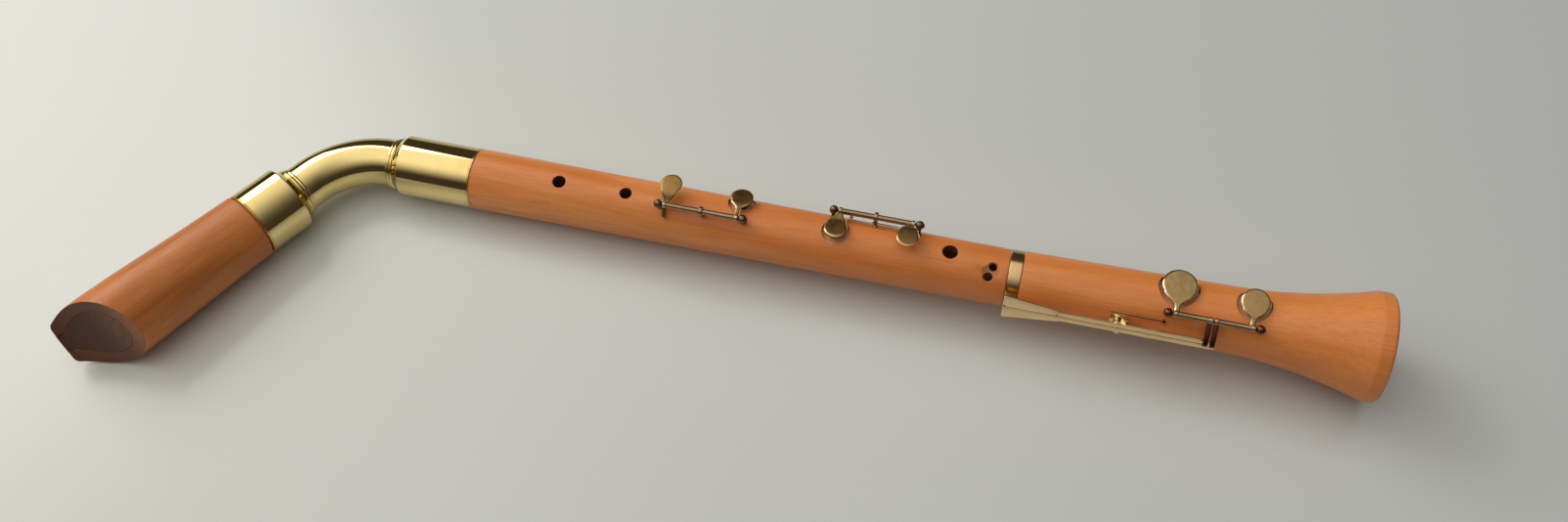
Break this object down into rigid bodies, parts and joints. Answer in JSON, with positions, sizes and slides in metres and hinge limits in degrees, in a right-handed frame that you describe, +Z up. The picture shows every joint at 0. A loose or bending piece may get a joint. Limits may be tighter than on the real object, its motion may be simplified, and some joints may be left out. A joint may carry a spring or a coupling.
{
  "type": "knick bass recorder",
  "caption": "Bent-neck wooden bass recorder lying down, with brass neck, sprung tone-hole keys and paired little-finger levers.",
  "frame": {"origin": "middle of the box's underside, on the table that the instrument lies on", "axes": "+X along the body's bore towards the bell, +Z up, and the head bends away towards -Y"},
  "size_m": [0.806, 0.222, 0.0706],
  "materials": {
    "pearwood_middle": "oiled satin",
    "pearwood_foot": "oiled satin",
    "pearwood_head": "oiled satin",
    "cedar": "bare end grain",
    "bright_brass": "polished and lacquered",
    "aged_brass": "dulled by handling",
    "dark_steel": "blued",
    "cork": "greased cork",
    "leather": "soft white kid"
  },
  "bodies": {
    "middle": {"middle_joint": "pearwood_middle", "upper_tenon_cork": "cork", "lower_tenon_cork": "cork", "third_key_left_post": "dark_steel", "third_key_right_post": "dark_steel", "third_key_saddle": "aged_brass", "third_key_pin": "dark_steel", "third_key_spring": "dark_steel", "fourth_key_left_post": "dark_steel", "fourth_key_right_post": "dark_steel", "fourth_key_saddle": "aged_brass", "fourth_key_pin": "dark_steel", "fourth_key_spring": "dark_steel"},
    "neck": {"upper_sleeve": "bright_brass", "upper_collar": "bright_brass", "neck_tube": "bright_brass", "lower_collar": "bright_brass", "lower_sleeve": "bright_brass"},
    "head": {"head_joint": "pearwood_head", "windway_block": "cedar", "head_tenon_cork": "cork"},
    "third_key": {"third_key": "aged_brass", "third_key_pad": "leather", "third_key_stop_cork": "cork"},
    "fourth_key": {"fourth_key": "aged_brass", "fourth_key_pad": "leather", "fourth_key_stop_cork": "cork"},
    "foot": {"foot_joint": "pearwood_foot", "foot_ring": "bright_brass", "low_left_post": "dark_steel", "low_right_post": "dark_steel", "low_pin": "dark_steel", "low_key_spring": "dark_steel", "half_key_spring": "dark_steel", "lever_bracket": "bright_brass", "lever_pin": "dark_steel", "lever_spring_screw": "dark_steel", "lever_spring": "dark_steel"},
    "low_key": {"low_key": "aged_brass", "low_key_pad": "leather"},
    "half_key": {"half_key": "aged_brass", "half_key_pad": "leather"},
    "low_lever": {"low_lever": "bright_brass"},
    "half_lever": {"half_lever": "bright_brass"}
  },
  "joints": [
    {"name": "neck_turn", "type": "hinge", "parent": "middle", "child": "neck", "pos_m": [-0.18855, 0.07649, 0.02292], "axis": [0.9997, 0, 0.0224], "continuous": true},
    {"name": "head_turn", "type": "hinge", "parent": "neck", "child": "head", "pos_m": [-0.32126, 0.00377, 0.02345], "axis": [-0.4626, -0.886, 0.0323], "continuous": true},
    {"name": "foot_turn", "type": "hinge", "parent": "middle", "child": "foot", "pos_m": [0.16936, 0.07649, 0.03093], "axis": [0.9997, 0, 0.0224], "continuous": true},
    {"name": "third_key_press", "type": "hinge", "parent": "middle", "child": "third_key", "pos_m": [-0.18908, 0.06667, 0.04693], "axis": [-0.9997, 0, -0.0224], "range_deg": [0, 12], "stiffness_Nm_per_rad": 0.02, "springref_deg": -20.05},
    {"name": "fourth_key_press", "type": "hinge", "parent": "middle", "child": "fourth_key", "pos_m": [-0.18905, 0.08835, 0.04545], "axis": [0.9997, 0, 0.0224], "range_deg": [0, 12], "stiffness_Nm_per_rad": 0.02, "springref_deg": -20.05},
    {"name": "low_lever_press", "type": "hinge", "parent": "foot", "child": "low_lever", "pos_m": [0.24122, 0.05261, 0.03838], "axis": [0.0217, -0.2378, -0.9711], "range_deg": [0, 3], "stiffness_Nm_per_rad": 0.08, "springref_deg": -11.46},
    {"name": "half_lever_press", "type": "hinge", "parent": "foot", "child": "half_lever", "pos_m": [0.24122, 0.05261, 0.03838], "axis": [0.0217, -0.2378, -0.9711], "range_deg": [0, 2.8], "stiffness_Nm_per_rad": 0.08, "springref_deg": -11.46},
    {"name": "low_key_close", "type": "hinge", "parent": "foot", "child": "low_key", "pos_m": [0.16891, 0.05927, 0.05105], "axis": [-0.9997, 0, -0.0224], "range_deg": [0, 12]},
    {"name": "half_key_close", "type": "hinge", "parent": "foot", "child": "half_key", "pos_m": [0.16891, 0.05927, 0.05105], "axis": [-0.9997, 0, -0.0224], "range_deg": [0, 12]}
  ],
  "couplings": [
    {"joint": "low_key_close", "follows": "low_lever_press", "ratio": 4},
    {"joint": "half_key_close", "follows": "half_lever_press", "ratio": 4.28}
  ]
}
